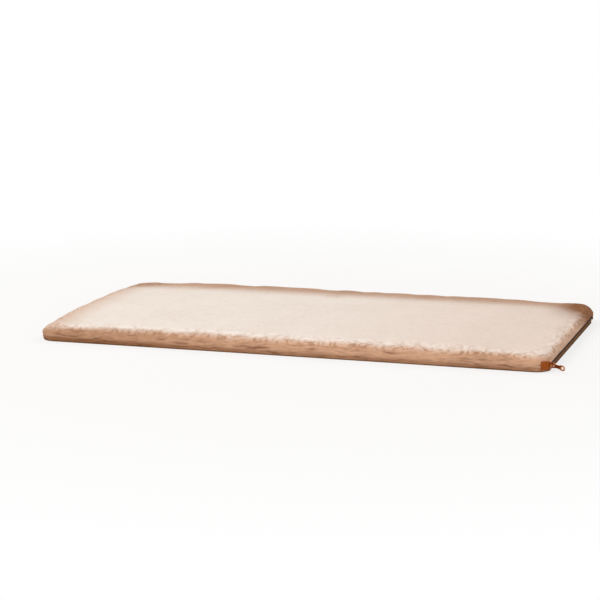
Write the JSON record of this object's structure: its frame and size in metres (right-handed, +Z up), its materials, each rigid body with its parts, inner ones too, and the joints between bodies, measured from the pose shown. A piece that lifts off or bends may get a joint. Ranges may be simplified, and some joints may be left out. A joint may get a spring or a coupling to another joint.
{
  "type": "window sill pet pad",
  "caption": "Flat padded sill bed for a cat: foam pad in a plush zip-off cover with a sliding zip and hook-and-loop strips underneath.",
  "frame": {"origin": "middle of the underside, on the sill", "axes": "+X along the length towards the zip, +Y from the front long side to the back, +Z up"},
  "size_m": [0.6261, 0.3196, 0.0269],
  "materials": {
    "plush": "matte",
    "base_cloth": "matte",
    "foam": "matte",
    "wadding": "matte",
    "liner": "matte",
    "loop_tape": "matte",
    "hook_tape": "satin",
    "zip_tape": "matte",
    "zip_teeth": "satin",
    "zip_stops": "satin",
    "zip_end": "matte",
    "slider": "satin",
    "tab": "satin"
  },
  "bodies": {
    "pad": {"top_cover": "plush", "base_panel": "base_cloth", "foam_core": "foam", "wadding_layer": "wadding", "liner_top": "liner", "liner_bottom": "liner", "loop_strip_front": "loop_tape", "loop_strip_back": "loop_tape", "hook_strip_front": "hook_tape", "hook_strip_back": "hook_tape", "zip_tape_upper": "zip_tape", "zip_tape_lower": "zip_tape", "zip_teeth_upper": "zip_teeth", "zip_teeth_lower": "zip_teeth", "zip_top_stops": "zip_stops", "zip_bottom_stop": "zip_stops", "zip_end_front": "zip_end", "zip_end_back": "zip_end"},
    "slider": {"slider_body": "slider"},
    "tab": {"pull_tab": "tab"}
  },
  "joints": [
    {"name": "slider_travel", "type": "slide", "parent": "pad", "child": "slider", "axis": [0, 1, 0], "range_m": [0, 0.2834], "deforming": ["zip_teeth_upper", "zip_teeth_lower"]},
    {"name": "tab_swing", "type": "hinge", "parent": "slider", "child": "tab", "pos_m": [0.30375, -0.14172, 0.00633], "axis": [0, 0, 1], "range_deg": [-44, 134]}
  ]
}
